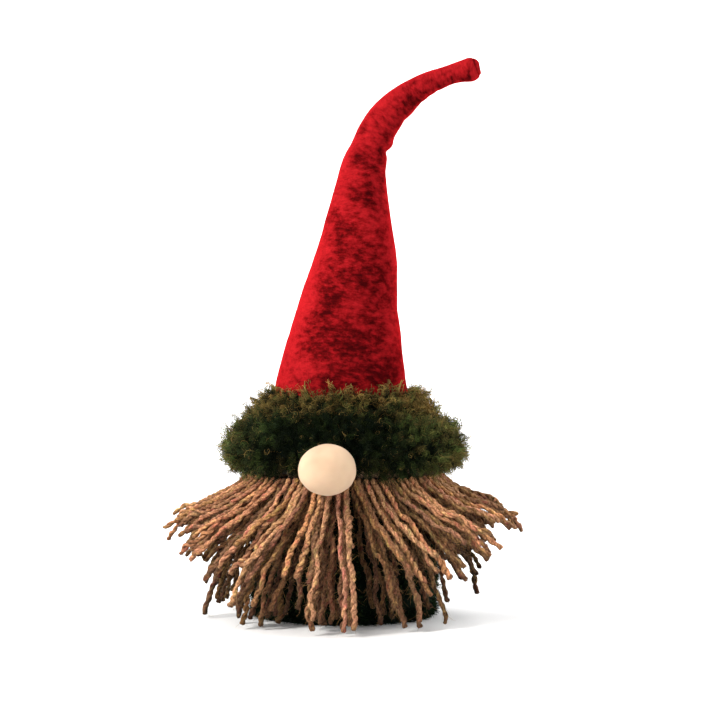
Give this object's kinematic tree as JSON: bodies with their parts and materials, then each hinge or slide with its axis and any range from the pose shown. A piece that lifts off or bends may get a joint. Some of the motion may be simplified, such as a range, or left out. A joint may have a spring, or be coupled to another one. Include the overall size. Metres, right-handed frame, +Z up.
{
  "type": "gnome figurine",
  "caption": "Standing tomte gnome: weighted plush body, full beard of yarn strands, ball nose, curly pile brim and a tall soft pointed hat bent over a wire.",
  "frame": {"origin": "middle of the flat felt underside, on the surface the figure stands on", "axes": "+Z up, front (nose) towards -Y, the hat's tip bends towards +X"},
  "size_m": [0.1834, 0.1427, 0.2804],
  "materials": {
    "red_felt": "brushed napped felt, brighter at grazing light",
    "red_thread": "matt sewing thread",
    "green_plush": "short plush",
    "green_pile": "curly long pile with brown-gold tips",
    "green_tape": "woven tape",
    "dark_thread": "waxed thread",
    "base_felt": "pressed felt",
    "stiff_card": "grey-brown board",
    "pellet_pouch": "calico pouch of plastic pellets",
    "fibre_filling": "white loose fibre",
    "bare_wire": "drawn wire",
    "nose_wool": "smooth felted wool",
    "shirt_button": "moulded button",
    "jute_yarn": "heathered plied yarn"
  },
  "bodies": {
    "figure": {"base_felt": "base_felt", "base_card": "stiff_card", "body_bag": "green_plush", "weight_pouch": "pellet_pouch", "body_filling": "fibre_filling", "neck_tie": "dark_thread", "header_tape": "green_tape", "header_cord": "dark_thread", "header_stitches": "dark_thread", "brim_backing": "green_tape", "brim_pile": "green_pile", "nose": "nose_wool", "nose_thread": "dark_thread", "nose_button": "shirt_button", "hat_lower": "red_felt", "hat_fold_lower": "red_felt", "hat_seam_lower": "red_thread", "hat_filling_lower": "fibre_filling", "hat_wire_lower": "bare_wire", "beard_lock_front": "jute_yarn", "beard_knot_front": "jute_yarn"},
    "hat_middle": {"hat_middle": "red_felt", "hat_fold_upper": "red_felt", "hat_seam_middle": "red_thread", "hat_filling_middle": "fibre_filling", "hat_wire_middle": "bare_wire"},
    "hat_tip": {"hat_tip": "red_felt", "hat_wire_tip": "bare_wire", "tip_stitch": "red_thread"},
    "beard_left_1": {"beard_lock_left_1": "jute_yarn", "beard_knot_left_1": "jute_yarn"},
    "beard_left_2": {"beard_lock_left_2": "jute_yarn", "beard_knot_left_2": "jute_yarn"},
    "beard_left_3": {"beard_lock_left_3": "jute_yarn", "beard_knot_left_3": "jute_yarn"},
    "beard_left_4": {"beard_lock_left_4": "jute_yarn", "beard_knot_left_4": "jute_yarn"},
    "beard_left_5": {"beard_lock_left_5": "jute_yarn", "beard_knot_left_5": "jute_yarn"},
    "beard_right_1": {"beard_lock_right_1": "jute_yarn", "beard_knot_right_1": "jute_yarn"},
    "beard_right_2": {"beard_lock_right_2": "jute_yarn", "beard_knot_right_2": "jute_yarn"},
    "beard_right_3": {"beard_lock_right_3": "jute_yarn", "beard_knot_right_3": "jute_yarn"},
    "beard_right_4": {"beard_lock_right_4": "jute_yarn", "beard_knot_right_4": "jute_yarn"},
    "beard_right_5": {"beard_lock_right_5": "jute_yarn", "beard_knot_right_5": "jute_yarn"}
  },
  "joints": [
    {"name": "hat_lower_bend", "type": "hinge", "parent": "figure", "child": "hat_middle", "pos_m": [0.00225, 0, 0.1498], "axis": [0, 1, 0], "range_deg": [-20, 20], "deforming": ["hat_fold_lower"]},
    {"name": "hat_tip_bend", "type": "hinge", "parent": "hat_middle", "child": "hat_tip", "pos_m": [0.0114, 0, 0.2304], "axis": [0, 1, 0], "range_deg": [-35, 30], "deforming": ["hat_fold_upper"]},
    {"name": "beard_left_1_lift", "type": "hinge", "parent": "figure", "child": "beard_left_1", "pos_m": [-0.01573, -0.04323, 0.074], "axis": [-0.9397, 0.342, 0], "range_deg": [0, 8]},
    {"name": "beard_left_2_lift", "type": "hinge", "parent": "figure", "child": "beard_left_2", "pos_m": [-0.02957, -0.03524, 0.074], "axis": [-0.766, 0.6428, 0], "range_deg": [0, 8]},
    {"name": "beard_left_3_lift", "type": "hinge", "parent": "figure", "child": "beard_left_3", "pos_m": [-0.03984, -0.023, 0.074], "axis": [-0.5, 0.866, 0], "range_deg": [0, 8]},
    {"name": "beard_left_4_lift", "type": "hinge", "parent": "figure", "child": "beard_left_4", "pos_m": [-0.0453, -0.00799, 0.074], "axis": [-0.1736, 0.9848, 0], "range_deg": [0, 8]},
    {"name": "beard_left_5_lift", "type": "hinge", "parent": "figure", "child": "beard_left_5", "pos_m": [-0.0453, 0.00799, 0.074], "axis": [0.1736, 0.9848, 0], "range_deg": [0, 8]},
    {"name": "beard_right_1_lift", "type": "hinge", "parent": "figure", "child": "beard_right_1", "pos_m": [0.01573, -0.04323, 0.074], "axis": [-0.9397, -0.342, 0], "range_deg": [0, 8]},
    {"name": "beard_right_2_lift", "type": "hinge", "parent": "figure", "child": "beard_right_2", "pos_m": [0.02957, -0.03524, 0.074], "axis": [-0.766, -0.6428, 0], "range_deg": [0, 8]},
    {"name": "beard_right_3_lift", "type": "hinge", "parent": "figure", "child": "beard_right_3", "pos_m": [0.03984, -0.023, 0.074], "axis": [-0.5, -0.866, 0], "range_deg": [0, 8]},
    {"name": "beard_right_4_lift", "type": "hinge", "parent": "figure", "child": "beard_right_4", "pos_m": [0.0453, -0.00799, 0.074], "axis": [-0.1736, -0.9848, 0], "range_deg": [0, 8]},
    {"name": "beard_right_5_lift", "type": "hinge", "parent": "figure", "child": "beard_right_5", "pos_m": [0.0453, 0.00799, 0.074], "axis": [0.1736, -0.9848, 0], "range_deg": [0, 8]}
  ]
}
